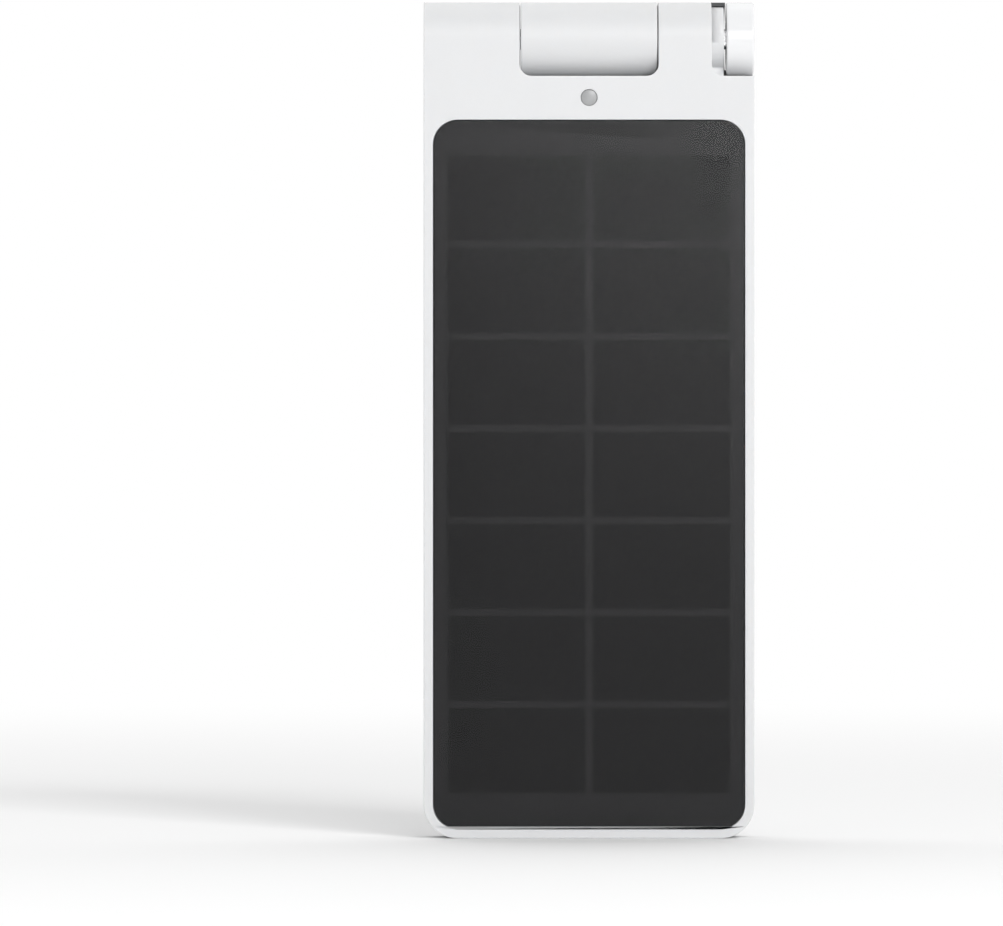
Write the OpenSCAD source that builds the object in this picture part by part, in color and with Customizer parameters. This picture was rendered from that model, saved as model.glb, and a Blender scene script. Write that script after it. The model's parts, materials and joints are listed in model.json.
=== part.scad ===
// Solar-powered security camera: a flat housing with a solar panel on its
// front, and a camera drum that tilts in the rolled end of the housing.
// It stands on its plain end. X runs across it, -Y is the solar side, +Y is
// the camera side, and +Z points at the rolled end. The tilt axis lies in the
// plane y = 0, where the two shells meet.

/* [Housing] */
// Width across the housing
body_w = 96; // [88:1:116]
// Height from the plain end to the top of the roll
body_h = 243; // [236:1:292]
// Diameter of the rolled end
roll_d = 21.4; // [20.6:0.2:25.8]
// Thickness of the flat part
slab_t = 17; // [16:0.1:20.4]
// Thickness of the side walls
wall = 2.4; // [2.0:0.1:2.9]
// Thickness of the flat back wall
back_wall = 1.8; // [1.5:0.1:2.2]
// Corner radius at the plain end
corner_r = 9.9; // [7:0.1:12]
// Radius where the roll blends into the flat back
blend_r = 6; // [4:0.5:8]

/* [Solar panel] */
// White border between the panel and the housing edge
border = 2.7; // [2:0.1:3.3]
// Height of the plain strip between the panel and the drum's notch
brow_h = 12.7; // [12.3:0.1:16]
// Width of one solar cell
cell_w = 39.8; // [32:0.1:40.5]
// Height of one solar cell
cell_h = 24.7; // [20:0.1:25.6]
// Gap between the two cell columns
cell_gap_x = 2.2; // [1:0.1:3]
// Gap between the cell rows
cell_gap_z = 2; // [1:0.1:3]
// Rows of cells
cell_rows = 7; // [5:1:7]
// Thickness of the cover glass
glass_t = 1.2; // [0.8:0.1:1.6]
// Thickness of a cell
cell_t = 0.3; // [0.2:0.05:0.5]
// Thickness of the panel's backing board
backing_t = 0.9; // [0.6:0.1:1.2]
// Thickness of the adhesive under the backing board
tape_t = 0.3; // [0.2:0.05:0.5]
// Depth of the glass below the border
glass_sink = 0.15; // [0:0.05:0.4]
// Housing floor under the panel
floor_t = 1.2; // [1:0.1:1.6]

/* [Camera drum] */
// Width of the notch for the drum
drum_notch_w = 40.4; // [40:0.2:48.6]
// Clearance round the drum and the knob
drum_gap = 0.4; // [0.3:0.05:0.6]
// Corner radius of both notches
notch_r = 3.5; // [2:0.1:4.5]
// Wall of the drum
drum_wall = 1.9; // [1.6:0.1:2.1]
// Radius of the tilt shaft and the trunnion
shaft_r = 3; // [2.6:0.1:3.6]
// Radial running clearance in the bushes
run_gap = 0.05; // [0.02:0.01:0.1]
// Wall of a bush
bush_wall = 1.5; // [1:0.1:1.8]
// Radius of the lens barrel
lens_r = 6; // [5:0.1:6.2]

/* [Tilt knob] */
// Width of the notch for the knob
knob_notch_w = 12.4; // [11.4:0.1:14.9]
// Width of the knob's grip
knob_w = 8.1; // [6:0.1:8.6]
// Depth of the step from the roll down to the neck beside the knob
neck_step = 1.4; // [1.2:0.1:2.4]
// Width of the gap between the neck and the knob
groove_w = 0.7; // [0.4:0.1:1.2]
// Radius of the knob's edges
knob_edge = 0.6; // [0.3:0.1:1.2]

/* [Mount] */
// Height of the bracket thread above the plain end
mount_h = 118; // [100:1:130]
// Radius of the mounting pad
pad_r = 15; // [12:0.5:20]
// Radius of the thread's bore, for a 1/4 inch camera screw
thread_r = 2.6; // [2.4:0.05:3.2]
// Outer radius of the brass insert
insert_r = 4; // [3.8:0.1:5]

/* [Details] */
// Radius of the status window
light_r = 2.4; // [1.5:0.1:3]
// Distance of the status window below the drum's notch
light_drop = 6.3; // [5.6:0.1:8]
// Radius of the power button
button_r = 3.9; // [3:0.1:5]
// Travel of the power button
button_travel = 0.5; // [0.3:0.1:0.6]
// Radius of the speaker
speaker_r = 14; // [10:0.5:15]
// Radius of one speaker hole
grille_r = 0.7; // [0.5:0.1:0.9]
// Length of the port cover, below its hinge
cover_l = 32.4; // [31.8:0.2:36]
// Width of the port cover
cover_w = 5.4; // [5:0.1:5.6]
// Thickness of the port cover
cover_t = 1.1; // [0.8:0.1:1.3]
// Radius of a housing screw's head
head_r = 2.4; // [2:0.1:2.6]

/* [Hidden] */
$fn = 96;
e = 0.01;
roll_r = roll_d / 2;
axis_z = body_h - roll_r;
half_w = body_w / 2;
front_y = -roll_r;
back_y = front_y + slab_t;
// Bottom of the notches
notch_z = axis_z - roll_r - drum_gap;
inner_back_y = back_y - back_wall;
inner_roll_r = roll_r - wall;
// Centre of the concave blend between the roll and the flat back
blend_y = back_y + blend_r;
blend_z = axis_z - sqrt(pow(roll_r + blend_r, 2) - pow(blend_y, 2));
// Panel layers, from the glass inwards
panel_w = body_w - 2 * border;
panel_z0 = border;
panel_z1 = notch_z - brow_h;
panel_r = corner_r - border;
panel_fit = 0.15;
glass_y = front_y + glass_sink;
cell_y = glass_y + glass_t;
backing_y = cell_y + cell_t;
tape_y = backing_y + backing_t;
recess_y = tape_y + tape_t;
floor_y = recess_y + floor_t;
brow_y = front_y + wall;
brow_z = panel_z1 + wall;
panel_lead_z = panel_z1 - 6;
// Drum and notches
drum_hw = drum_notch_w / 2;
drum_x = drum_hw - drum_gap;
drum_end = 1.8;
pocket_r = roll_r + drum_gap - 0.05;
drum_in_r = roll_r - drum_wall;
knob_x0 = half_w - knob_notch_w;
grip_x = half_w - knob_w;
neck_r = roll_r - neck_step;
neck_room_r = neck_r + 0.3;
back_knob_x0 = grip_x - 0.2;
neck_x1 = grip_x - groove_w;
lip_t = drum_gap - 0.15;
flat_cut = 0.7;
// Bearings: the notch face, and the direction into the housing
bearings = [[-drum_hw, -1], [drum_hw, 1], [knob_x0, -1]];
bush_r = shaft_r + run_gap + bush_wall;
ring_w = 1;
flange_t = 0.8;
flange_r = bush_r + 0.9;
washer_t = 0.5;
clip_t = 0.7;
washer_x = -drum_hw - wall - flange_t - 0.05;
clip_x = washer_x - washer_t;
trunnion_x = clip_x - clip_t - 1;
trunnion_bore = 1.9;
clip_r = shaft_r - 0.5;
// Stops: a lug on the shaft meets a ledge at each end of the tilt
lug_x1 = knob_x0 - wall - flange_t - 0.6;
lug_x0 = lug_x1 - 2;
lug_reach = 6.6;
lug_angle = 45;
ledge_y = 4.2;
ledge_drop = 0.95;
// Camera
window_x0 = -drum_x + 2.8;
window_x1 = drum_x - 13;
window_z = 7.6;
window_t = 1.2;
window_gap = 0.1;
window_in_r = roll_r - window_gap - window_t;
lens_x = (window_x0 + window_x1) / 2;
led_x = (window_x1 - window_x0) / 2 - 2.5;
pir_x = drum_x - 7.6;
pir_r = 4.5;
pir_flange_r = pir_r + 0.4;
pir_flange_t = 0.7;
pir_y = sqrt(pow(drum_in_r, 2) - pow(pir_flange_r, 2)) - pir_flange_t - e;
dome_r = 6;
sensor_y = -5.2;
pcb_t = 1;
sensor_face_y = sensor_y + pcb_t;
ir_y = 3.9;
// Main board
board_t = 1.2;
board_room = 4.9;
board_back = inner_back_y - board_room;
board_y = board_back - board_t;
board_x0 = -6;
board_x1 = half_w - wall - 0.4;
board_z1 = panel_z1 + 0.3;
board_z0 = board_z1 - 49.6;
board_holes = [[board_x0 + 3, board_z0 + 3.2], [25, board_z0 + 3.2],
    [board_x0 + 3, board_z0 + 21.5], [26, board_z0 + 45.8]];
connector_x = -2.4;
// Batteries
cell_top = board_z0 - 12;
foam_t = 3;
pouch_y = floor_y + 0.2;
pouch_t = inner_back_y - foam_t - pouch_y;
pouch_w = 74;
pouch_z0 = wall + 5.6;
pouch_gap = 3;
pouch_h = (cell_top - pouch_z0 - pouch_gap) / 2;
// The cells' own small board, between their top and the main board
charge_y = inner_back_y - 6.5;
charge_t = 1;
pouch_lead_y = charge_y - charge_t / 2;
// Antenna strip in the roll, left of the drum
antenna_x0 = -half_w + 5;
antenna_x1 = -drum_hw - 5.8;
antenna_y = 4.8;
antenna_t = 0.6;
// Housing screws, in four rows of posts
post_x = half_w - 6;
post_r = 3.2;
back_post_r = 4;
post_rows = [11, 83, board_z0 - 4.2, board_z1 + 4.2];
head_t = 1.6;
head_y = back_y - 4;
screw_r = 1;
pilot_gap = 0.05;
plug_sink = 0.2;
// Seal between the shells
seal_inset = 0.7;
seal_w = 1;
seal_half_t = 0.6;
// Ports in the right side wall
port_y = board_y - 1.9;
port_z0 = board_z0 + 5.4;
port_z1 = board_z0 + 32.8;
usb_z = board_z0 + 26.8;
card_z0 = board_z0 + 7;
card_w = 11;
card_l = 14;
card_x1 = board_x1 + 0.3;
cover_x = half_w - 0.05 - cover_t / 2;
cover_in_x = cover_x - cover_t / 2;
cover_z1 = board_z0 + 36.4;
// Sound, button and light
speaker_x = -24;
speaker_z = board_z1 - 25;
speaker_t = 3;
gasket_t = 0.8;
speaker_y = inner_back_y - gasket_t - speaker_t;
mic_x = 16;
mic_z = board_z1 - 4;
button_x = 28;
button_z = board_z1 - 12.8;
reset_x = 36;
plunger_y = board_back + 1.8;
plunger_r = 1.2;
light_z = notch_z - light_drop;
// Routes of the leads, as points inside the housing and the drum
lead_y = board_back + 1.2;
head_route = [[-drum_x + 6.2, sensor_y + 2.6, axis_z], [-drum_x + 4.8, -2.2, axis_z],
    [-drum_x + 3.8, -0.6, axis_z], [-drum_x + 2.2, 0, axis_z], [-drum_x - 1.2, 0, axis_z],
    [trunnion_x + 0.15, 0, axis_z]];
camera_route = [[trunnion_x - 0.35, 0, axis_z], [trunnion_x - 4.35, 0, axis_z],
    [trunnion_x - 6.85, 0, axis_z - 3], [trunnion_x - 6.85, 0, axis_z - 14],
    [-28, 0, board_z1 + 1.5], [-16, lead_y, board_z1 - 4],
    [-8, lead_y, board_z1 - 4], [connector_x - 2, lead_y, board_z1 - 4]];
antenna_route = [[antenna_x1 - 1, antenna_y - 0.6, axis_z - 4],
    [antenna_x1 + 1.4, inner_back_y - 1.5, axis_z - 8],
    [antenna_x1 + 1.4, inner_back_y - 2.1, notch_z - 4.9],
    [-12, inner_back_y - 2.1, board_z1 + 3], [2, inner_back_y - 1.5, board_z1 - 4],
    [9, inner_back_y - 1.3, board_z1 - 12], [9, inner_back_y - 1.9, board_z0 + 22],
    [9, inner_back_y - 2, board_z0 + 16]];
panel_route = [[-16, tape_y, panel_lead_z], [-16, floor_y + 1.4, panel_lead_z],
    [-12, floor_y + 2.6, panel_lead_z], [-7, board_y - 1, panel_lead_z],
    [connector_x - 2, board_y - 1, panel_lead_z]];
battery_route = [[12, charge_y, cell_top + 2.6], [12, charge_y + 2.6, cell_top + 2.6],
    [12, board_back + 1.2, cell_top + 7], [12, board_back + 1.2, board_z0 + 0.4]];
pouch_route = [[-20, pouch_lead_y, pouch_z0 + pouch_h],
    [-20, pouch_lead_y, pouch_z0 + pouch_h + 1.5],
    [-36.6, pouch_lead_y, pouch_z0 + pouch_h + 1.5],
    [-37.9, pouch_lead_y, pouch_z0 + pouch_h + 1.5],
    [-37.9, pouch_lead_y, pouch_z0 + pouch_h + 4], [-37.9, pouch_lead_y, cell_top - 10],
    [-37.9, pouch_lead_y, cell_top], [-34, pouch_lead_y, cell_top + 2.5],
    [-30, pouch_lead_y, cell_top + 2.5]];
speaker_route = [[speaker_x + 10, speaker_y - 0.6, speaker_z + 5],
    [-12, speaker_y - 1.4, speaker_z + 5], [-8, speaker_y - 1.4, speaker_z + 5],
    [-6.4, lead_y, speaker_z + 5], [connector_x - 2, lead_y, speaker_z + 5]];

// ---- Shared shapes -------------------------------------------------------

// A drawing in X and Z, given a thickness from y0 to y1.
module plate(y0, y1) {
    translate([0, y1, 0]) rotate([90, 0, 0]) linear_extrude(y1 - y0) children();
}

// A drawing in Y and Z, given a length from x0 to x1.
module bar(x0, x1) {
    translate([x0, 0, 0]) rotate([90, 0, 90]) linear_extrude(x1 - x0) children();
}

// A round bar on the tilt axis.
module rod(x0, x1, r) {
    translate([x0, 0, axis_z]) rotate([0, 90, 0]) cylinder(h = x1 - x0, r = r);
}

// A ring on the tilt axis, between two ends in either order.
module ring(a, b, r, bore) {
    difference() {
        rod(min(a, b), max(a, b), r);
        rod(min(a, b) - 1, max(a, b) + 1, bore);
    }
}

// A round bar on the tilt axis with rounded end edges.
module soft_rod(x0, x1, r, soft) {
    long = x1 - x0;
    translate([x0, 0, axis_z]) rotate([0, 90, 0]) rotate_extrude() {
        square([r - soft, long]);
        translate([0, soft]) square([r, long - 2 * soft]);
        for (h = [soft, long - soft]) translate([r - soft, h]) circle(soft);
    }
}

// A round pin along Y at x and z.
module pin(y0, y1, r, x, z) {
    translate([x, y1, z]) rotate([90, 0, 0]) cylinder(h = y1 - y0, r = r);
}

// A block between two corners.
module block(x0, x1, y0, y1, z0, z1) {
    translate([x0, y0, z0]) cube([x1 - x0, y1 - y0, z1 - z0]);
}

// A rectangle with its own corner radius at the bottom and at the top.
module round_rect(x0, x1, z0, z1, low, high) {
    translate([x0, z0 + low]) square([x1 - x0, z1 - z0 - low - high]);
    if (low > 0) {
        translate([x0 + low, z0]) square([x1 - x0 - 2 * low, low + e]);
        for (x = [x0 + low, x1 - low]) translate([x, z0 + low]) circle(low);
    }
    if (high > 0) {
        translate([x0 + high, z1 - high - e]) square([x1 - x0 - 2 * high, high + e]);
        for (x = [x0 + high, x1 - high]) translate([x, z1 - high]) circle(high);
    }
}

// Corner cutting: each pass rounds the bends of a route.
function rounded(p) = concat([p[0]],
    [for (i = [0 : len(p) - 2]) each [p[i] * 0.75 + p[i + 1] * 0.25,
        p[i] * 0.25 + p[i + 1] * 0.75]],
    [p[len(p) - 1]]);

// A lead of radius r, swept along a route.
module lead(route, r) {
    p = rounded(rounded(route));
    n = len(p);
    sides = 8;
    up = [0.31, 0.2, 0.93];
    skin_points = [for (i = [0 : n - 1])
        let (t = p[min(i + 1, n - 1)] - p[max(i - 1, 0)],
            u = cross(t, up) / norm(cross(t, up)),
            v = cross(t, u) / norm(cross(t, u)))
        for (k = [0 : sides - 1])
            p[i] + r * (u * cos(360 * k / sides) + v * sin(360 * k / sides))];
    skin = [for (i = [0 : n - 2], k = [0 : sides - 1])
        let (a = i * sides + k, b = i * sides + (k + 1) % sides)
        each [[a, a + sides, b], [b, a + sides, b + sides]]];
    caps = [[for (k = [0 : sides - 1]) k],
        [for (k = [sides - 1 : -1 : 0]) (n - 1) * sides + k]];
    polyhedron(skin_points, concat(skin, caps));
}

// ---- Housing -------------------------------------------------------------

// Notch in the front view, open at the top, with rounded lower corners.
// It is drawn larger all round by grow; r is its corner radius before that.
module notch(x0, x1, grow, r = notch_r) {
    round_rect(x0 - grow, x1 + grow, notch_z - grow, body_h + 20, r + grow, 0);
}

// Front view of the housing, drawn in by inset; r rounds the notches.
module outline(inset, r = notch_r) {
    difference() {
        round_rect(-half_w + inset, half_w - inset, inset, body_h - inset,
            corner_r - inset, 0);
        notch(-drum_hw, drum_hw, inset, r);
        notch(knob_x0, half_w + 20, inset, r);
    }
}

// Side view of the housing: the roll, the flat slab, and the concave blend
// between them on the camera side.
module side_view() {
    translate([0, axis_z]) circle(roll_r);
    translate([front_y, 0]) square([slab_t, axis_z]);
    difference() {
        polygon([[0, blend_z - 1], [back_y, blend_z - 1], [back_y, blend_z],
            [blend_y, blend_z], [0, axis_z]]);
        translate([blend_y, blend_z]) circle(blend_r);
    }
}

// Free space inside the housing.
module cavity() {
    intersection() {
        plate(front_y, roll_r) outline(wall);
        bar(-half_w, half_w) {
            translate([0, axis_z]) circle(inner_roll_r);
            translate([brow_y, brow_z])
                square([inner_back_y - brow_y, axis_z - brow_z]);
            translate([floor_y, wall])
                square([inner_back_y - floor_y, axis_z - wall]);
        }
    }
}

// One shell: the side view between y0 and y1, drawn out to the full width and
// cut to the front view, without its share of the cavity. Its knob notch
// begins at knob_from.
module shell(y0, y1, knob_from) {
    difference() {
        intersection() {
            bar(-half_w, half_w) intersection() {
                side_view();
                translate([y0, -1]) square([y1 - y0, body_h + 2]);
            }
            plate(front_y - 1, roll_r + 1) difference() {
                round_rect(-half_w, half_w, 0, body_h, corner_r, 0);
                notch(-drum_hw, drum_hw, 0);
                notch(knob_from, half_w + 20, 0);
            }
        }
        cavity();
    }
}

module bearing_seats() {
    rod(-drum_hw - wall - e, -drum_hw + e, bush_r);
    rod(drum_hw - e, drum_hw + wall + e, bush_r);
    rod(knob_x0 - wall - e, knob_x0 + e, bush_r);
}

module at_posts() {
    for (s = [-1, 1], z = post_rows) translate([s * post_x, 0, z]) children();
}

module at_board_holes() {
    for (hole = board_holes) translate([hole[0], 0, hole[1]]) children();
}

// Ledge inside the roll where the shaft's lug stops; side is -1 or 1.
module tilt_stop(side) {
    mirror([0, (1 - side) / 2, 0])
        block(lug_x0 - 0.4, lug_x1 + 0.4, ledge_y, inner_roll_r + 0.5,
            axis_z - 3, axis_z - ledge_drop);
}

// Band of the seal between the shells, left open at the bearings. It keeps
// outside the pockets, which have square corners at the parting plane.
module seal_band() {
    difference() {
        outline(seal_inset, 0);
        outline(seal_inset + seal_w, 0);
        for (b = bearings) translate([b[0] + b[1] * wall / 2 - wall, axis_z - flange_r])
            square([2 * wall, 2 * flange_r]);
    }
}

// Thin lip on each side wall of the drum's notch, which closes the gap beside the
// drum; side is -1 for the front shell and 1 for the back shell.
module gap_lips(side) {
    intersection() {
        for (hand = [-1, 1])
            ring(hand * (drum_hw + 0.5), hand * (drum_hw - lip_t), roll_r - 0.8, bush_r + 2.8);
        block(-half_w, half_w, min(0, side * roll_r), max(0, side * roll_r), 0, body_h + 1);
    }
}

// Fixed neck between the roll and the knob, with a web under it.
module knob_neck() {
    intersection() {
        union() {
            ring(knob_x0 - 0.5, neck_x1, neck_r, neck_r - 2);
            ring(neck_x1 - 1.5, neck_x1, neck_r, shaft_r + 0.4);
            block(knob_x0 - 0.5, neck_x1, -4, 0, notch_z - 0.5, axis_z - neck_r + 1);
        }
        block(0, half_w, -roll_r, 0, 0, body_h + 1);
    }
}

module front_shell() {
    color([0.93, 0.93, 0.94]) {
        front_body();
        gap_lips(-1);
        knob_neck();
    }
}

module front_body() {
    difference() {
        union() {
            shell(front_y - 1, 0, knob_x0);
            intersection() {
                at_posts() pin(floor_y - 0.5, 0, post_r, 0, 0);
                plate(front_y + 1, 0) outline(1);
            }
            at_board_holes() pin(floor_y - 0.5, board_y, 2.2, 0, 0);
            tilt_stop(-1);
        }
        plate(front_y - 1, recess_y)
            round_rect(-panel_w / 2, panel_w / 2, panel_z0, panel_z1, panel_r, panel_r);
        rod(-drum_hw, drum_hw, pocket_r);
        rod(knob_x0, half_w + 1, pocket_r);
        bearing_seats();
        plate(-seal_half_t, 1) seal_band();
        at_posts() pin(floor_y + 0.4, 1, screw_r + pilot_gap, 0, 0);
        at_board_holes() pin(floor_y + 0.6, 0, 0.85, 0, 0);
        pin(front_y - 1, brow_y + 1, light_r + 0.05, 0, light_z);
        pin(recess_y - 1, floor_y + 1, 2, -16, panel_lead_z);
        port_opening();
    }
}

// Opening for the ports, and the seat of their cover.
module port_opening() {
    seat = cover_w / 2 + 0.15;
    block(half_w - wall - 1, half_w + 1, port_y - 2, port_y + 2, port_z0, port_z1);
    block(cover_in_x - 0.1, half_w + 1, port_y - seat, port_y + seat,
        cover_z1 - cover_l - 0.3, cover_z1 + cover_t / 2 + 0.35);
}

module back_shell() {
    color([0.24, 0.25, 0.26]) {
        back_body();
        gap_lips(1);
    }
}

module back_body() {
    difference() {
        union() {
            shell(0, roll_r + 1, back_knob_x0);
            intersection() {
                at_posts() pin(0, back_y - 1, back_post_r, 0, 0);
                plate(0, back_y) outline(1);
            }
            pin(inner_back_y, roll_r, pad_r, 0, mount_h);
            pin(inner_back_y - 1.6, back_y, insert_r + 2, 0, mount_h);
            tilt_stop(1);
            speaker_ring();
            block(antenna_x0 + 2, antenna_x1 - 2, antenna_y + antenna_t, inner_roll_r + 0.5,
                axis_z - 1, axis_z + 1);
        }
        rod(-drum_hw, drum_hw, pocket_r);
        rod(knob_x0, half_w + 1, neck_room_r);
        rod(back_knob_x0, half_w + 1, pocket_r);
        bearing_seats();
        plate(-1, seal_half_t) seal_band();
        at_posts() {
            pin(-1, back_y + 1, screw_r + 0.3, 0, 0);
            pin(head_y, back_y + 1, head_r + 0.2, 0, 0);
        }
        pin(inner_back_y - 0.6, roll_r + 1, insert_r, 0, mount_h);
        pin(inner_back_y - 1, back_y + 1, button_r + 0.15, button_x, button_z);
        for (hole = [[reset_x, button_z], [mic_x, mic_z]])
            pin(inner_back_y - 1, back_y + 1, 0.6, hole[0], hole[1]);
        speaker_grille();
    }
}

// Wall that holds the speaker in place behind the grille.
module speaker_ring() {
    difference() {
        pin(speaker_y, inner_back_y + 0.5, speaker_r + 1.4, speaker_x, speaker_z);
        pin(speaker_y - 1, inner_back_y, speaker_r + 0.2, speaker_x, speaker_z);
    }
}

// Rings of small holes over the speaker.
module speaker_grille() {
    for (turn = [0 : 4], k = [0 : max(1, 6 * turn) - 1]) {
        angle = 360 * k / max(1, 6 * turn);
        pin(inner_back_y - 1, back_y + 1, grille_r, speaker_x + 2.4 * turn * cos(angle),
            speaker_z + 2.4 * turn * sin(angle));
    }
}

module housing_seal() {
    color([0.1, 0.1, 0.1]) plate(-seal_half_t, seal_half_t) seal_band();
}

// Pan-head screw along Y with a cross recess; its head starts at y.
module screw(y, long, shank, head, thick) {
    difference() {
        union() {
            pin(y - long, y, shank, 0, 0);
            pin(y, y + thick, head, 0, 0);
        }
        for (turn = [0, 90])
            translate([0, y + thick, 0]) rotate([0, turn, 0])
                cube([head * 1.2, thick, head * 0.28], center = true);
    }
}

module housing_screws() {
    color([0.62, 0.63, 0.65])
        at_posts() screw(head_y, head_y - floor_y - 0.8, screw_r, head_r, head_t);
}

module screw_plugs() {
    color([0.16, 0.16, 0.17]) at_posts()
        pin(head_y + head_t, back_y - plug_sink, head_r + 0.2, 0, 0);
}

module mount_insert() {
    color([0.8, 0.65, 0.35]) difference() {
        pin(inner_back_y - 0.6, roll_r, insert_r, 0, mount_h);
        pin(inner_back_y - 2, roll_r + 1, thread_r, 0, mount_h);
    }
}

// ---- Solar panel ---------------------------------------------------------

// Outline of a panel layer, drawn in by inset.
module panel_outline(inset) {
    g = panel_fit + inset;
    r = max(panel_r - g, 0.5);
    round_rect(-panel_w / 2 + g, panel_w / 2 - g, panel_z0 + g, panel_z1 - g, r, r);
}

// Places a child at the lower left corner of every cell.
module at_cells() {
    field_h = cell_rows * cell_h + (cell_rows - 1) * cell_gap_z;
    low = (panel_z0 + panel_z1 - field_h) / 2;
    for (row = [0 : cell_rows - 1], side = [-1, 1])
        translate([side * (cell_w + cell_gap_x) / 2 - cell_w / 2,
            low + row * (cell_h + cell_gap_z)]) children();
}

module solar_glass() {
    color([0.1, 0.1, 0.11, 0.5]) plate(glass_y, cell_y) panel_outline(0);
}

module solar_cells() {
    color([0.07, 0.07, 0.08])
        plate(cell_y, backing_y) at_cells() square([cell_w, cell_h]);
}

module cell_film() {
    color([0.16, 0.16, 0.17]) plate(cell_y, backing_y) difference() {
        panel_outline(0);
        at_cells() square([cell_w, cell_h]);
    }
}

module panel_backing() {
    color([0.12, 0.12, 0.12]) plate(backing_y, tape_y) panel_outline(0);
}

module panel_tape() {
    color([0.3, 0.3, 0.3]) plate(tape_y, recess_y) difference() {
        panel_outline(0);
        panel_outline(5);
    }
}

module panel_lead() {
    color([0.7, 0.1, 0.1]) lead(panel_route, 0.8);
}

module status_window() {
    color([0.68, 0.68, 0.69]) {
        pin(front_y + 0.12, brow_y, light_r, 0, light_z);
        pin(brow_y - e, board_y - 1, 1.5, 0, light_z);
    }
}

module status_led() {
    color([0.9, 0.9, 0.8])
        block(-1, 1, board_y - 0.8, board_y, light_z - 1.2, light_z + 1.2);
}

// ---- Electronics ---------------------------------------------------------

module main_board() {
    color([0.05, 0.3, 0.18]) difference() {
        union() {
            block(board_x0, board_x1, board_y, board_back, board_z0, board_z1);
            block(board_x0, 6, board_y, board_back, board_z1 - e, light_z + 2.4);
        }
        at_board_holes() pin(board_y - 1, board_back + 1, 1.1, 0, 0);
    }
}

module board_screws() {
    color([0.7, 0.7, 0.7]) at_board_holes() screw(board_back, 4, 0.8, 1.7, 1);
}

module processor_shield() {
    color([0.75, 0.75, 0.76])
        block(10, 24, board_back, board_back + 2.2, board_z0 + 32, board_z0 + 42.6);
}

module wireless_module() {
    color([0.7, 0.7, 0.72])
        block(2, 18, board_back, board_back + 1.9, board_z0 + 8, board_z0 + 20);
}

// Coils, capacitors and a charging chip on the solar side of the board.
module power_parts() {
    color([0.2, 0.2, 0.2]) {
        for (z = [12, 21]) block(5, 11, board_y - 3, board_y, board_z0 + z, board_z0 + z + 6);
        for (x = [14, 20]) pin(board_y - 3.6, board_y, 2.4, x, board_z0 + 40);
        block(8, 15, board_y - 1, board_y, board_z0 + 30, board_z0 + 35);
    }
}

// Hollow socket with its mouth towards +X.
module socket(x0, x1, y0, y1, z0, z1, back) {
    skin = 0.3;
    difference() {
        block(x0, x1, y0, y1, z0, z1);
        block(x0 + back, x1 + 1, y0 + skin, y1 - skin, z0 + skin, z1 - skin);
    }
}

module usb_socket() {
    color([0.72, 0.72, 0.74]) {
        socket(board_x1 - 7, board_x1 + 0.2, board_y - 3.2, board_y, usb_z - 4.5, usb_z + 4.5, 1);
        block(board_x1 - 6 - e, board_x1 - 0.8, board_y - 1.9, board_y - 1.3,
            usb_z - 3.4, usb_z + 3.4);
    }
}

module card_socket() {
    color([0.66, 0.66, 0.68])
        socket(card_x1 - card_l - 2.4, board_x1, board_y - 1.8, board_y,
            card_z0 - 1.2, card_z0 + card_w + 1.2, 1.2);
}

module memory_card() {
    color([0.08, 0.08, 0.09])
        block(card_x1 - card_l, card_x1, board_y - 1.3, board_y - 0.5,
            card_z0, card_z0 + card_w);
}

// Bodies of the power switch and the reset switch.
module push_switches() {
    color([0.15, 0.15, 0.16]) for (x = [button_x, reset_x]) difference() {
        block(x - 2.6, x + 2.6, board_back, board_back + 1.3, button_z - 2.6, button_z + 2.6);
        pin(board_back + 0.2, board_back + 2, plunger_r + 0.1, x, button_z);
    }
}

module plunger(x) {
    color([0.75, 0.2, 0.15])
        pin(board_back + 0.2 + button_travel + 0.1, plunger_y, plunger_r, x, button_z);
}

module microphone() {
    color([0.78, 0.7, 0.45])
        block(mic_x - 2, mic_x + 2, board_back, board_back + 1.1, mic_z - 1.6, mic_z + 1.6);
}

// Soft rings that seal the microphone and the speaker to the back wall.
module sound_gaskets() {
    color([0.1, 0.1, 0.1]) {
        difference() {
            pin(board_back + 1.1, inner_back_y, 2, mic_x, mic_z);
            pin(board_back, inner_back_y + 1, 0.8, mic_x, mic_z);
        }
        difference() {
            pin(speaker_y + speaker_t, inner_back_y, speaker_r, speaker_x, speaker_z);
            pin(speaker_y, inner_back_y + 1, speaker_r - 1.6, speaker_x, speaker_z);
        }
    }
}

// Plug-in connectors: camera, speaker, panel and battery.
module board_connectors() {
    x0 = connector_x - 2;
    x1 = connector_x + 2;
    color([0.9, 0.88, 0.8]) {
        for (z = [board_z1 - 4, speaker_z + 5])
            block(x0, x1, board_back, board_back + 2, z - 2.5, z + 2.5);
        block(x0, x1, board_y - 2, board_y, panel_lead_z - 2, panel_lead_z + 2);
        block(8, 16, board_back, board_back + 2.4, board_z0 + 0.4, board_z0 + 4.4);
    }
}

// Pouch cell in its foil, with the side seams folded down.
module pouch(index) {
    low = pouch_z0 + index * (pouch_h + pouch_gap);
    color([0.72, 0.73, 0.75]) {
        plate(pouch_y, pouch_y + pouch_t)
            round_rect(-pouch_w / 2 + 0.5, pouch_w / 2 - 0.5, low, low + pouch_h, 2, 2);
        for (s = [-1, 1])
            block(s * (pouch_w / 2 - 0.4) - 0.4, s * (pouch_w / 2 - 0.4) + 0.4,
                pouch_y + 1, pouch_y + pouch_t - 2, low + 2, low + pouch_h - 3);
    }
}

module battery_board() {
    color([0.08, 0.25, 0.4]) block(-30, 30, charge_y - charge_t, charge_y, cell_top, cell_top + 5);
}

module battery_leads() {
    color([0.75, 0.1, 0.1]) {
        lead(battery_route, 0.9);
        lead(pouch_route, 0.5);
    }
}

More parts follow.
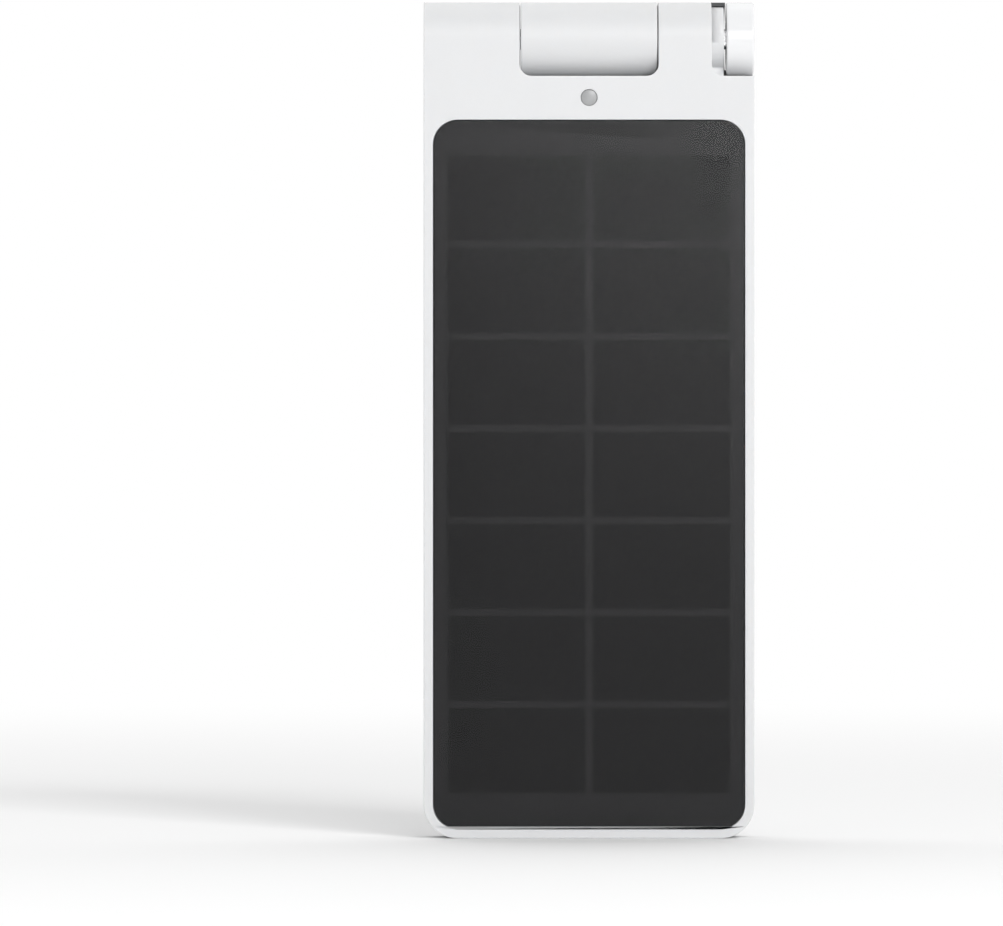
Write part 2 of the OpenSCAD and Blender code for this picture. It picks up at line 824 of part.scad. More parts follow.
module battery_foam() {
    color([0.2, 0.2, 0.22]) for (index = [0, 1], s = [-1, 1])
        translate([0, 0, index * (pouch_h + pouch_gap)])
            block(s * 26 - 8, s * 26 + 8, pouch_y + pouch_t, inner_back_y, pouch_z0 + 6,
                pouch_z0 + pouch_h - 6);
}

module speaker() {
    cone_y = speaker_y + speaker_t;
    color([0.18, 0.18, 0.19]) {
        difference() {
            pin(speaker_y, cone_y, speaker_r, speaker_x, speaker_z);
            pin(cone_y - 1, cone_y + 1, speaker_r - 1.6, speaker_x, speaker_z);
        }
        pin(speaker_y - 2, speaker_y + e, speaker_r - 5, speaker_x, speaker_z);
        pin(cone_y - 1 - e, cone_y - 0.4, 4, speaker_x, speaker_z);
    }
}

module speaker_lead() {
    color([0.1, 0.1, 0.1]) lead(speaker_route, 0.5);
}

module antenna() {
    color([0.75, 0.55, 0.2]) block(antenna_x0, antenna_x1,
        antenna_y, antenna_y + antenna_t, axis_z - 5, axis_z + 5);
}

module antenna_lead() {
    color([0.2, 0.2, 0.2]) lead(antenna_route, 0.55);
}

module camera_lead() {
    color([0.15, 0.15, 0.15]) lead(camera_route, 1.1);
}

// ---- Bearings ------------------------------------------------------------

module shaft_bushes() {
    color([0.85, 0.84, 0.8]) for (b = bearings) {
        inner = b[0] + b[1] * wall;
        outer = inner + b[1] * flange_t;
        ring(b[0] + b[1] * ring_w, outer, bush_r, shaft_r + run_gap);
        ring(inner, outer, flange_r, shaft_r + run_gap);
    }
}

// Rubber rings beside the bushes, which keep rain out.
module shaft_seals() {
    color([0.1, 0.1, 0.1]) for (b = bearings)
        ring(b[0], b[0] + b[1] * ring_w, bush_r, shaft_r + run_gap);
}

// Spring washer that gives the tilt its friction.
module wave_washer() {
    color([0.7, 0.71, 0.72]) ring(washer_x, clip_x, flange_r - 0.4, shaft_r + 0.1);
}

// Open ring in a groove of the trunnion, which keeps the washer loaded.
module retaining_clip() {
    color([0.5, 0.51, 0.52]) difference() {
        ring(clip_x, clip_x - clip_t, flange_r - 0.6, clip_r);
        block(clip_x - clip_t - 1, clip_x + 1, -clip_r * 0.8, clip_r * 0.8,
            axis_z, axis_z + 10);
    }
}

// ---- Camera drum ---------------------------------------------------------

// One half of the drum's shell; side is -1 for the rear and 1 for the front.
module drum_half(side) {
    difference() {
        rod(-drum_x, drum_x, roll_r);
        rod(-drum_x + drum_end, drum_x - drum_end, drum_in_r);
        rod(-drum_x - 1, drum_x + 1, shaft_r);
        mirror([0, (1 - side) / 2, 0])
            block(-drum_x - 1, drum_x + 1, -roll_d, 0, axis_z - roll_d, axis_z + roll_d);
    }
}

// Window opening in the front of the drum, drawn in by inset.
module window_outline(inset) {
    translate([0, axis_z]) round_rect(window_x0 + inset, window_x1 - inset,
        -window_z + inset, window_z - inset, 3 - inset, 3 - inset);
}

module drum_rear() {
    color([0.93, 0.93, 0.94]) {
        drum_half(-1);
        intersection() {
            for (x = [lens_x - 9, lens_x + 9])
                pin(-roll_r, sensor_y, 1.6, x, axis_z);
            rod(-drum_x, drum_x, drum_in_r + 0.5);
        }
    }
}

module drum_front() {
    color([0.93, 0.93, 0.94]) difference() {
        drum_half(1);
        plate(1, roll_r + 1) window_outline(1);
        difference() {
            plate(1, roll_r + 1) window_outline(0);
            rod(-drum_x, drum_x, window_in_r);
        }
        pin(1, roll_r + 1, pir_r + 0.1, pir_x, axis_z);
    }
}

module camera_window() {
    color([0.03, 0.03, 0.035]) intersection() {
        plate(1, roll_r + 1) window_outline(window_gap);
        ring(window_x0, window_x1, roll_r - window_gap, window_in_r);
    }
}

module lens_barrel() {
    color([0.08, 0.08, 0.08]) difference() {
        union() {
            pin(-2.4, 6, lens_r, lens_x, axis_z);
            pin(5, 6.6, lens_r + 0.3, lens_x, axis_z);
        }
        pin(4.8, 8, lens_r - 1.2, lens_x, axis_z);
        pin(-3, 6, 3, lens_x, axis_z);
    }
}

// Front lens element: a slice of a ball.
module lens_glass() {
    color([0.2, 0.22, 0.3]) intersection() {
        translate([lens_x, 0.4, axis_z]) sphere(r = 7.6);
        pin(4.8, 9, lens_r - 1.2, lens_x, axis_z);
    }
}

module lens_holder() {
    color([0.1, 0.1, 0.1]) difference() {
        union() {
            block(lens_x - 7, lens_x + 7, sensor_face_y, -1, axis_z - 6.6, axis_z + 6.6);
            pin(-1 - e, ir_y, lens_r + 0.9, lens_x, axis_z);
        }
        block(lens_x - 5, lens_x + 5, sensor_face_y - 1, -2.4, axis_z - 5, axis_z + 5);
        pin(-3, ir_y + 1, lens_r, lens_x, axis_z);
    }
}

module image_sensor() {
    color([0.15, 0.15, 0.2]) block(lens_x - 4, lens_x + 4, sensor_face_y,
        sensor_face_y + 0.9, axis_z - 4, axis_z + 4);
}

module sensor_board() {
    color([0.05, 0.3, 0.18]) {
        block(-drum_x + 3.2, drum_x - 3.2, sensor_y, sensor_face_y, axis_z - 6.8, axis_z + 6.8);
        block(-drum_x + 4, -drum_x + 7.2, sensor_face_y - e, sensor_y + 1.7,
            axis_z - 4, axis_z + 4);
    }
}

module infrared_board() {
    color([0.05, 0.05, 0.06]) difference() {
        block(window_x0 + 0.4, window_x1 - 0.2, ir_y, ir_y + 0.8, axis_z - 7, axis_z + 7);
        pin(ir_y - 1, ir_y + 2, lens_r + 0.4, lens_x, axis_z);
    }
}

// Four emitters, each with a round dome.
module infrared_leds() {
    base_y = ir_y + 0.8;
    color([0.5, 0.45, 0.5]) for (x = [lens_x - led_x, lens_x + led_x], s = [-1, 1]) {
        z = axis_z + s * 3.4;
        block(x - 1.5, x + 1.5, base_y, base_y + 0.8, z - 1.5, z + 1.5);
        translate([x, base_y + 0.8, z]) intersection() {
            sphere(r = 1.2);
            translate([-2, -0.2, -2]) cube([4, 2, 4]);
        }
    }
}

module motion_sensor() {
    color([0.7, 0.68, 0.6]) {
        pin(sensor_face_y, 0.4, 4, pir_x, axis_z);
        pin(sensor_face_y, sensor_face_y + 0.5, 4.4, pir_x, axis_z);
    }
}

// White dome that gathers body heat onto the motion sensor.
module motion_lens() {
    color([0.9, 0.9, 0.88]) difference() {
        union() {
            pin(pir_y, pir_y + pir_flange_t, pir_flange_r, pir_x, axis_z);
            intersection() {
                translate([pir_x, roll_r - dome_r, axis_z]) sphere(r = dome_r);
                pin(pir_y, roll_r + 1, pir_r, pir_x, axis_z);
            }
        }
        intersection() {
            translate([pir_x, roll_r - dome_r, axis_z]) sphere(r = dome_r - 0.7);
            pin(pir_y - 1, roll_r + 1, pir_r - 0.7, pir_x, axis_z);
        }
    }
}

module head_lead() {
    color([0.15, 0.15, 0.15]) lead(head_route, 0.9);
}

// Shaft from the drum to the knob, with a flat for the knob and the lug that
// meets the tilt stops.
module tilt_shaft() {
    color([0.7, 0.71, 0.72]) {
        difference() {
            rod(drum_x - drum_end - 1.2, half_w - 4, shaft_r);
            knob_flat();
        }
        rod(drum_x - drum_end - 1.2, drum_x - drum_end, shaft_r + 2);
        translate([0, 0, axis_z]) rotate([lug_angle, 0, 0])
            block(lug_x0, lug_x1, shaft_r - 0.6, lug_reach, -0.8, 0.8);
    }
}

// Space beside the flat of the shaft, inside the knob.
module knob_flat() {
    block(knob_x0 + 0.3, half_w, -shaft_r - 1, -shaft_r + flat_cut,
        axis_z - shaft_r - 1, axis_z + shaft_r + 1);
}

module left_trunnion() {
    flange_x = -drum_x + drum_end;
    color([0.7, 0.71, 0.72]) difference() {
        union() {
            rod(trunnion_x, flange_x + 1.2, shaft_r);
            rod(flange_x, flange_x + 1.2, shaft_r + 2);
        }
        rod(trunnion_x - 1, flange_x + 2, trunnion_bore);
        ring(clip_x, clip_x - clip_t, shaft_r + 1, clip_r);
    }
}

// ---- Tilt knob -----------------------------------------------------------

module tilt_knob() {
    color([0.96, 0.96, 0.97]) difference() {
        soft_rod(grip_x, half_w, roll_r, knob_edge);
        difference() {
            rod(knob_x0, half_w - 4, shaft_r);
            knob_flat();
        }
    }
}

// ---- Button and cover ----------------------------------------------------

module power_button() {
    color([0.2, 0.2, 0.21]) {
        pin(inner_back_y - 0.6, back_y + 0.3, button_r, button_x, button_z);
        pin(inner_back_y - 1.2, inner_back_y - 0.3, button_r + 1, button_x, button_z);
        pin(plunger_y, inner_back_y - 1, 1.5, button_x, button_z);
    }
}

// Rubber flap with a round hinge at its upper end and a plug for the ports.
module port_cover() {
    color([0.85, 0.85, 0.86]) {
        plate(port_y - cover_w / 2, port_y + cover_w / 2) {
            translate([cover_in_x, cover_z1 - cover_l]) square([cover_t, cover_l]);
            translate([cover_x, cover_z1]) circle(cover_t / 2);
        }
        block(cover_in_x - 0.9, cover_in_x + e, port_y - 1.6, port_y + 1.6,
            port_z0 + 0.5, port_z1 - 0.5);
    }
}

front_shell();
back_shell();
housing_seal();
housing_screws();
screw_plugs();
solar_glass();
solar_cells();
cell_film();
panel_backing();
panel_tape();
panel_lead();
status_window();
status_led();
main_board();
board_screws();
processor_shield();
wireless_module();
power_parts();
usb_socket();
card_socket();
memory_card();
push_switches();
plunger(button_x);  // power_plunger
plunger(reset_x);  // reset_plunger
microphone();
sound_gaskets();
board_connectors();
pouch(0);  // battery_1
pouch(1);  // battery_2
battery_board();
battery_leads();
battery_foam();
speaker();
speaker_lead();
antenna();
antenna_lead();
camera_lead();
mount_insert();
shaft_bushes();
shaft_seals();
wave_washer();
retaining_clip();
drum_rear();
drum_front();
camera_window();
lens_barrel();
lens_glass();
lens_holder();
image_sensor();
sensor_board();
infrared_board();
infrared_leds();
motion_sensor();
motion_lens();
head_lead();
tilt_shaft();
left_trunnion();
tilt_knob();
power_button();
port_cover();
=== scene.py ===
# Solar-powered security camera: how its pieces look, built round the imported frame.

import json
import math

import bmesh
import bpy
import numpy as np
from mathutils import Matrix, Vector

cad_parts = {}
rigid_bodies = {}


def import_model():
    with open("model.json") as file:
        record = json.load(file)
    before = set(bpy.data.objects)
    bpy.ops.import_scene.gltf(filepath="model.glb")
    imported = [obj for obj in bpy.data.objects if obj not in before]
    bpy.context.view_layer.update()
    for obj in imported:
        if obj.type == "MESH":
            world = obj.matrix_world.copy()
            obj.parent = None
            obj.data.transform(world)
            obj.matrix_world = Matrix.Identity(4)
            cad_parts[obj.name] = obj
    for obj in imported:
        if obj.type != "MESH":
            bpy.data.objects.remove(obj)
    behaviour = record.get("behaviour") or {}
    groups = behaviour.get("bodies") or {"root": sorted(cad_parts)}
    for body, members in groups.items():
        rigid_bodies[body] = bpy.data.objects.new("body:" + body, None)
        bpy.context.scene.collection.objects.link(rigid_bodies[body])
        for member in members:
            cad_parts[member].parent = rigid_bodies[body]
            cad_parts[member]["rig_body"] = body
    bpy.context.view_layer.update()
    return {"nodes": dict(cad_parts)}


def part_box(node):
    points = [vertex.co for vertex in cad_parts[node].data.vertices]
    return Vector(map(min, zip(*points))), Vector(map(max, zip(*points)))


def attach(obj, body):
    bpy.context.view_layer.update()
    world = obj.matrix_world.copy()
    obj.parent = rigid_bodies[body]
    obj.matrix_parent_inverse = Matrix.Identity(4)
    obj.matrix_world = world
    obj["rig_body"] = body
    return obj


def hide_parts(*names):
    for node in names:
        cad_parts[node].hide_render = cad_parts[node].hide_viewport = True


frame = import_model()


# ---- Studio ------------------------------------------------------------------
# A pale floor that runs out into white, and three soft lamps: one low in front, and two at
# the right that throw the shadow to the left. The room is brighter above and behind.

class Wire:
    """A node's output. Arithmetic on it adds Math nodes to the same tree."""

    def __init__(self, tree, socket):
        self.tree = tree
        self.socket = socket

    def maths(self, operation, *values):
        return self.tree.add("ShaderNodeMath", {"operation": operation}, dict(enumerate(values)))

    def __add__(self, other):
        return self.maths("ADD", self, other)

    def __radd__(self, other):
        return self.maths("ADD", other, self)

    def __sub__(self, other):
        return self.maths("SUBTRACT", self, other)

    def __rsub__(self, other):
        return self.maths("SUBTRACT", other, self)

    def __mul__(self, other):
        return self.maths("MULTIPLY", self, other)

    def __rmul__(self, other):
        return self.maths("MULTIPLY", other, self)

    def __gt__(self, other):
        return self.maths("GREATER_THAN", self, other)

    def __lt__(self, other):
        return self.maths("LESS_THAN", self, other)

    def __pow__(self, other):
        return self.maths("POWER", self, other)

    def __mod__(self, other):
        return self.maths("FLOORED_MODULO", self, other)

    def fade(self, low, high):
        """0 below low, 1 above high, and smooth between them."""
        sockets = {"Value": self, "From Min": low, "From Max": high}
        return self.tree.add("ShaderNodeMapRange", {"interpolation_type": "SMOOTHSTEP"}, sockets)


class Tree:
    """The nodes of a material or of the world."""

    def __init__(self, owner):
        owner.use_nodes = True
        self.owner = owner
        self.nodes = owner.node_tree.nodes
        self.links = owner.node_tree.links
        self.nodes.clear()

    def add(self, kind, settings=None, sockets=None, out=0):
        """A node of that kind: settings first, then values or wires for its sockets."""
        node = self.nodes.new(kind)
        for key, value in (settings or {}).items():
            setattr(node, key, value)
        for key, value in (sockets or {}).items():
            if isinstance(value, Wire):
                self.links.new(value.socket, node.inputs[key])
            else:
                node.inputs[key].default_value = value
        return Wire(self, node.outputs[out]) if len(node.outputs) else None

    def place(self, stretch=(1, 1, 1), turn=(0, 0, 0)):
        """The piece's own coordinates in metres, stretched and turned."""
        where = self.add("ShaderNodeTexCoord", out=3)
        return self.add("ShaderNodeMapping", {}, {"Vector": where, "Scale": stretch, "Rotation": turn})

    def axes(self, space=3):
        """X, Y and Z: the piece's own, in metres, or with space 0 the room's heading."""
        where = self.add("ShaderNodeTexCoord", out=space)
        return [self.add("ShaderNodeSeparateXYZ", {}, {"Vector": where}, axis) for axis in range(3)]

    def noise(self, size, detail=2.0, stretch=(1, 1, 1), turn=(0, 0, 0)):
        """Cloudy noise about 0.5, with lumps of that size in metres."""
        sockets = {"Vector": self.place(stretch, turn), "Scale": 1 / size, "Detail": detail}
        return self.add("ShaderNodeTexNoise", {}, sockets)

    def mix(self, first, second, share):
        """Colour first where share is 0, second where it is 1."""
        return self.add("ShaderNodeMix", {"data_type": "RGBA"}, {0: share, 6: first, 7: second}, 2)

    def bump(self, height, depth):
        """Surface relief: height from 0 to 1, and its depth in metres."""
        return self.add("ShaderNodeBump", {}, {"Height": height, "Distance": depth, "Strength": 1.0})

    def shader(self, **sockets):
        """The main surface shader. An underscore in a name stands for a space."""
        named = {key.replace("_", " "): value for key, value in sockets.items()}
        return self.add("ShaderNodeBsdfPrincipled", {}, named)

    def show(self, surface, kind="ShaderNodeOutputMaterial"):
        """Makes surface the result, and returns the material or world."""
        self.add(kind, {}, {"Surface": surface})
        return self.owner


def rgba(colour, share=1.0):
    """A colour with all of its channels scaled by share."""
    return tuple(channel * share for channel in colour[:3]) + (1.0,)


lens_mm = 300
view_distance = 2.424
front_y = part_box("front_shell")[0].y
camera_data = bpy.data.cameras.new("camera")
camera_data.lens = lens_mm
camera_data.sensor_width = 36
camera = bpy.data.objects.new("camera", camera_data)
camera.location = (-0.0254, front_y - view_distance, 0.1089)
camera.rotation_euler = (math.pi / 2, 0, 0)
bpy.context.scene.collection.objects.link(camera)
bpy.context.scene.camera = camera
bpy.context.scene.view_settings.view_transform = "Standard"

room = Tree(bpy.data.worlds.new("room"))
bpy.context.scene.world = room.owner
_, backward, upward = room.axes(space=0)
seen = room.add("ShaderNodeLightPath")
glow = backward.fade(-0.5, 0.5) * 0.86 + upward.fade(0.2, 1.0) * 0.45 + 0.06
light = room.add("ShaderNodeBackground", {}, {"Color": (1, 1, 1, 1), "Strength": glow})
backdrop = room.add("ShaderNodeBackground", {}, {"Color": (1, 1, 1, 1), "Strength": 1.0})
room.show(room.add("ShaderNodeMixShader", {}, {0: seen, 1: light, 2: backdrop}),
          "ShaderNodeOutputWorld")

floor_half = 12.0
floor_mesh = bpy.data.meshes.new("floor")
floor_mesh.from_pydata([(-floor_half, -floor_half, 0), (floor_half, -floor_half, 0),
                        (floor_half, floor_half, 0), (-floor_half, floor_half, 0)],
                       [], [(0, 1, 2, 3)])
floor = bpy.data.objects.new("floor", floor_mesh)
bpy.context.scene.collection.objects.link(floor)
paper = Tree(bpy.data.materials.new("studio_paper"))
across, along, _ = paper.axes()
reach = (across * across + along * along) ** 0.5
tooth = paper.noise(0.004)
sheet = paper.shader(Base_Color=(0.9, 0.9, 0.9, 1), Roughness=tooth * 0.1 + 0.75,
                     Normal=paper.bump(tooth, 0.00002), Specular_IOR_Level=0.1)
white = paper.add("ShaderNodeEmission", {}, {"Color": (1, 1, 1, 1), "Strength": 1.0})
floor_mesh.materials.append(paper.show(
    paper.add("ShaderNodeMixShader", {}, {0: reach.fade(0.15, 1.4), 1: sheet, 2: white})))


def soft_lamp(name, spot, target, size, power):
    """A square lamp that faces a target."""
    data = bpy.data.lights.new(name, "AREA")
    data.shape = "SQUARE"
    data.size = size
    data.energy = power
    lamp = bpy.data.objects.new(name, data)
    lamp.location = spot
    way = np.array(target) - np.array(spot)
    lamp.rotation_euler = (math.atan2(math.hypot(way[0], way[1]), -way[2]), 0,
                           math.atan2(-way[0], way[1]))
    bpy.context.scene.collection.objects.link(lamp)


soft_lamp("front_lamp", (0.38, -2.6, 0.63), (0, 0, 0.15), 0.9, 8.6)
soft_lamp("side_lamp", (1.75, -3.55, 2.3), (0, 0, 0.1), 1.2, 92.0)
soft_lamp("low_lamp", (0.8, -4.2, 1.45), (0, 0, 0.1), 1.2, 32.0)


# ---- Front shell -------------------------------------------------------------
# Injection-moulded white ABS with a fine satin texture. Its outer edges carry the
# mould's small radius; the panel's recess and the notches are a little crisper.

roll_radius = 0.0107
axis_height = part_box("tilt_knob")[0].z + roll_radius
half_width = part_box("front_shell")[1].x
neck_end = 0.0392
neck_radius = 0.0093


def moulded(name, colour, rough, grain, depth, coat=0.0, glow_through=0.0):
    """Moulded plastic: the mould's grain in relief, and a faint unevenness in tone and
    shine from the flow of the melt. glow_through is the share of light that passes a
    little way in and comes out again."""
    tree = Tree(bpy.data.materials.new(name))
    flow = tree.noise(0.022, 1.0, (1, 1, 0.35))
    texture = tree.noise(grain, 2.0)
    tone = flow * 0.6 + texture * 0.4
    return tree.show(tree.shader(
        Base_Color=tree.mix(rgba(colour, 0.965), rgba(colour, 1.03), tone),
        Roughness=flow * 0.08 + texture * 0.1 + (rough - 0.09),
        Normal=tree.bump(texture, depth),
        Coat_Weight=coat, Coat_Roughness=0.06, IOR=1.5,
        Subsurface_Weight=glow_through, Subsurface_Radius=(0.0016, 0.0015, 0.0014),
        Subsurface_Scale=1.0))


def merged_copy(node, name):
    """The node's mesh as one closed surface, with each flat face in one piece."""
    mesh = frame["nodes"][node].data.copy()
    mesh.name = name
    work = bmesh.new()
    work.from_mesh(mesh)
    bmesh.ops.remove_doubles(work, verts=work.verts, dist=2e-6)
    bmesh.ops.dissolve_limit(work, angle_limit=math.radians(0.2), verts=work.verts,
                             edges=work.edges)
    work.to_mesh(mesh)
    work.free()
    mesh.materials.clear()
    piece = bpy.data.objects.new(name, mesh)
    bpy.context.scene.collection.objects.link(piece)
    return piece


def softened(node, name, radius, share, crease=28):
    """A node's own shape with rounded edges. share(x, y, z) gives, for the middles of the
    sharp edges, how much of the radius each takes."""
    piece = merged_copy(node, name)
    mesh = piece.data
    mesh.shade_smooth()
    mesh.set_sharp_from_angle(angle=math.radians(crease))
    ends = np.empty(len(mesh.edges) * 2, np.int32)
    mesh.edges.foreach_get("vertices", ends)
    points = np.empty(len(mesh.vertices) * 3, np.float32)
    mesh.vertices.foreach_get("co", points)
    middles = points.reshape(-1, 3)[ends.reshape(-1, 2)].mean(axis=1)
    sharp = np.empty(len(mesh.edges), bool)
    mesh.attributes["sharp_edge"].data.foreach_get("value", sharp)
    weight = np.where(sharp, share(*middles.T), 0.0)
    held = mesh.attributes.new("bevel_weight_edge", "FLOAT", "EDGE")
    held.data.foreach_set("value", weight.astype(np.float32))
    bevel = piece.modifiers.new("edge_radius", "BEVEL")
    bevel.limit_method = "WEIGHT"
    bevel.width = radius
    bevel.segments = 3
    bevel.harden_normals = True
    bevel.use_clamp_overlap = True
    level = piece.modifiers.new("flat_faces_stay_flat", "WEIGHTED_NORMAL")
    level.keep_sharp = True
    level.weight = 80
    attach(piece, frame["nodes"][node]["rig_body"])
    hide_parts(node)
    return piece


def true_round(piece, whole=False, radius=roll_radius):
    """Fixes the edge radii into the mesh, held inside the box of the unrounded shape, and
    points the normals of the roll's round skin straight out from its axis. A whole roll is
    round below the axis in front as well."""
    shape = np.empty(len(piece.data.vertices) * 3, np.float32)
    piece.data.vertices.foreach_get("co", shape)
    shape = shape.reshape(-1, 3)
    graph = bpy.context.evaluated_depsgraph_get()
    mesh = bpy.data.meshes.new_from_object(piece.evaluated_get(graph), depsgraph=graph)
    mesh.name = piece.data.name
    piece.modifiers.clear()
    piece.data = mesh
    normals = np.empty(len(mesh.loops) * 3, np.float32)
    mesh.corner_normals.foreach_get("vector", normals)
    normals = normals.reshape(-1, 3)
    corners = np.empty(len(mesh.loops), np.int32)
    mesh.loops.foreach_get("vertex_index", corners)
    points = np.empty(len(mesh.vertices) * 3, np.float32)
    mesh.vertices.foreach_get("co", points)
    points = np.clip(points.reshape(-1, 3), shape.min(axis=0), shape.max(axis=0))
    mesh.vertices.foreach_set("co", points.ravel())
    points = points[corners]
    outward = (points - (0, 0, axis_height)) * (0, 1, 1)
    far = np.linalg.norm(outward, axis=1)
    outward = outward / np.maximum(far, 1e-9)[:, None]
    facing = np.empty(len(mesh.polygons) * 3, np.float32)
    mesh.polygons.foreach_get("normal", facing)
    sides = np.empty(len(mesh.polygons), np.int32)
    mesh.polygons.foreach_get("loop_total", sides)
    facing = np.repeat(facing.reshape(-1, 3), sides, axis=0)
    turned_out = np.maximum((normals * outward).sum(axis=1), (facing * outward).sum(axis=1))
    skin = near(far, radius, 0.00006) & (turned_out > 0.97)
    if not whole:
        skin = skin & ((points[:, 2] > axis_height - 0.00002) | (points[:, 1] > 0))
    normals[skin] = outward[skin]
    mesh.normals_split_custom_set(normals)


def near(value, target, slack=0.00004):
    """True where value is within slack of target."""
    return np.abs(value - target) < slack


def on_roll(y, z):
    """True on the round skin of the rolled end."""
    return near(np.hypot(y, z - axis_height), roll_radius) & (z > axis_height - 0.0002)


def front_edges(x, y, z):
    """All of the radius on the outer edges, less on the notches, round the panel and the
    status window and on the neck's rim, and none where the shells meet."""
    skin = (near(y, front_y) | on_roll(y, z)) & (y < -0.0002)
    panel = (np.abs(x) < half_width - 0.0015) & (z > 0.0015) & (z < 0.2095)
    window = np.hypot(x, z - 0.2149) < 0.003
    notch = (z > 0.2205) & (np.abs(x) < half_width - 0.0001)
    knob_side = notch & (x > half_width - 0.0135)
    amount = np.where(notch, np.where(knob_side, 0.3, 0.45), 1.0)
    amount = np.where(panel, 0.3, np.where(window, 0.2, amount))
    rim = near(x, neck_end) & near(np.hypot(y, z - axis_height), neck_radius) & (y < -0.0002)
    return np.where(rim, 0.3, np.where(skin, amount, 0.0))


white_satin = moulded("white_satin", (0.68, 0.685, 0.693), 0.42, 0.00035, 0.000006, 0.0, 0.4)
front_shell = softened("front_shell", "front_shell_moulding", 0.00055, front_edges)
true_round(front_shell)
front_shell.data.materials.append(white_satin)


# ---- Back shell --------------------------------------------------------------
# Charcoal moulding with a coarser spark-eroded texture. It wraps the camera side, holds
# the speaker grille and the mounting pad, and shows as a dark strip above the neck.

back_y = 0.0063
blend_radius = 0.006
blend_y = back_y + blend_radius
blend_z = axis_height - math.sqrt((roll_radius + blend_radius) ** 2 - blend_y ** 2)
pad_height = 0.118
pad_radius = 0.015


def back_edges(x, y, z):
    """All of the radius on the outer edges and the pad's rim, less at the button and the
    screw holes, and none where the shells meet, at the grille or at the pad's foot."""
    blend = near(np.hypot(y - blend_y, z - blend_z), blend_radius) & (z >= blend_z)
    skin = (near(y, back_y) | blend | near(np.hypot(y, z - axis_height), roll_radius))
    skin = skin & (y > 0.0002)
    pad = near(y, roll_radius) & near(np.hypot(x, z - pad_height), pad_radius, 0.0002)
    outer = (np.abs(x) > half_width - 0.0001) | (z < 0.0101) & (np.abs(x) > 0.038)
    outer = outer | near(z, 0)
    notch = z > 0.2205
    screw = np.abs(np.abs(x) - 0.042) < 0.0029
    button = np.hypot(x - 0.028, z - 0.196) < 0.0044
    inner = (button | screw) & ~(outer | notch)
    amount = np.where(outer, 1.0, np.where(notch, 0.45, np.where(inner, 0.3, 0.0)))
    return np.where(pad, 1.0, np.where(skin, amount, 0.0))


charcoal_texture = moulded("charcoal_texture", (0.052, 0.055, 0.058), 0.55, 0.00045, 0.00003)
back_shell = softened("back_shell", "back_shell_moulding", 0.0005, back_edges)
true_round(back_shell)
back_shell.data.materials.append(charcoal_texture)


# ---- Seal, screws and plugs --------------------------------------------------
# A black silicone cord lies between the shells. Eight zinc-plated screws hold them, and a
# rubber plug, slightly domed, closes each screw hole from the back.

def rubber(name, colour, rough=0.8):
    """Matt rubber: a dusty bloom over a fine dull texture."""
    tree = Tree(bpy.data.materials.new(name))
    bloom = tree.noise(0.006, 3.0)
    dull = tree.noise(0.0003, 2.0)
    return tree.show(tree.shader(
        Base_Color=tree.mix(rgba(colour, 0.85), rgba(colour, 1.25), bloom),
        Roughness=bloom * 0.12 + (rough - 0.06), Normal=tree.bump(dull, 0.000012),
        Specular_IOR_Level=0.35))


def plated(name, colour, rough, stretch=(1, 1, 1), line=0.0008):
    """Worked metal: fine lines left by the tool, stretched along their way, under a
    cloudy bright finish."""
    tree = Tree(bpy.data.materials.new(name))
    lines = tree.noise(line, 3.0, stretch)
    cloud = tree.noise(0.003, 2.0)
    return tree.show(tree.shader(
        Base_Color=tree.mix(rgba(colour, 0.86), rgba(colour, 1.08), cloud * 0.5 + lines * 0.5),
        Metallic=1.0, Roughness=lines * 0.22 + (rough - 0.11),
        Normal=tree.bump(lines, 0.000004)))


def dress(material, *nodes):
    """Gives a finish to pieces whose shape stays as designed."""
    for node in nodes:
        held = frame["nodes"][node].data.materials
        held.clear()
        held.append(material)


def grid_piece(name, points, material, body, replaced=(), crease=40):
    """A piece from a grid of points, rows by columns: neighbours join into quads, each row
    closes round, and points that meet at a pole are merged."""
    rows, columns = points.shape[:2]
    index = np.arange(rows * columns).reshape(rows, columns)
    after = np.roll(index, -1, axis=1)
    quads = np.stack([index[:-1], after[:-1], after[1:], index[1:]], axis=-1).reshape(-1, 4)
    mesh = bpy.data.meshes.new(name)
    mesh.from_pydata(points.reshape(-1, 3), [], quads)
    work = bmesh.new()
    work.from_mesh(mesh)
    bmesh.ops.remove_doubles(work, verts=work.verts, dist=1e-7)
    bmesh.ops.recalc_face_normals(work, faces=work.faces)
    work.to_mesh(mesh)
    work.free()
    mesh.shade_smooth()
    mesh.set_sharp_from_angle(angle=math.radians(crease))
    mesh.materials.append(material)
    piece = bpy.data.objects.new(name, mesh)
    bpy.context.scene.collection.objects.link(piece)
    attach(piece, body)
    if replaced:
        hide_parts(*replaced)
    return piece


def turned(profile, middle, steps=64):
    """Points of a turned form about an axis along Y: each profile point is a radius and a
    height along Y, carried round a full circle."""
    radius, height = np.array(profile, float).T
    angle = np.linspace(0, 2 * math.pi, steps, endpoint=False)
    across = middle[0] + radius[:, None] * np.cos(angle)
    up = middle[1] + radius[:, None] * np.sin(angle)
    return np.stack([across, np.broadcast_to(height[:, None], across.shape), up], axis=-1)


def arc(middle, radius, start, end, steps):
    """Profile points on a circular arc, with angles in degrees from the radius axis."""
    angle = np.radians(np.linspace(start, end, steps))
    return [(middle[0] + radius * math.cos(a), middle[1] + radius * math.sin(a)) for a in angle]


black_seal = rubber("black_seal", (0.02, 0.02, 0.021))
button_black = rubber("button_black", (0.04, 0.04, 0.042), 0.7)
zinc = plated("zinc", (0.6, 0.6, 0.61), 0.34)
dress(black_seal, "housing_seal", "sound_gaskets", "shaft_seals")
dress(zinc, "housing_screws", "board_screws")

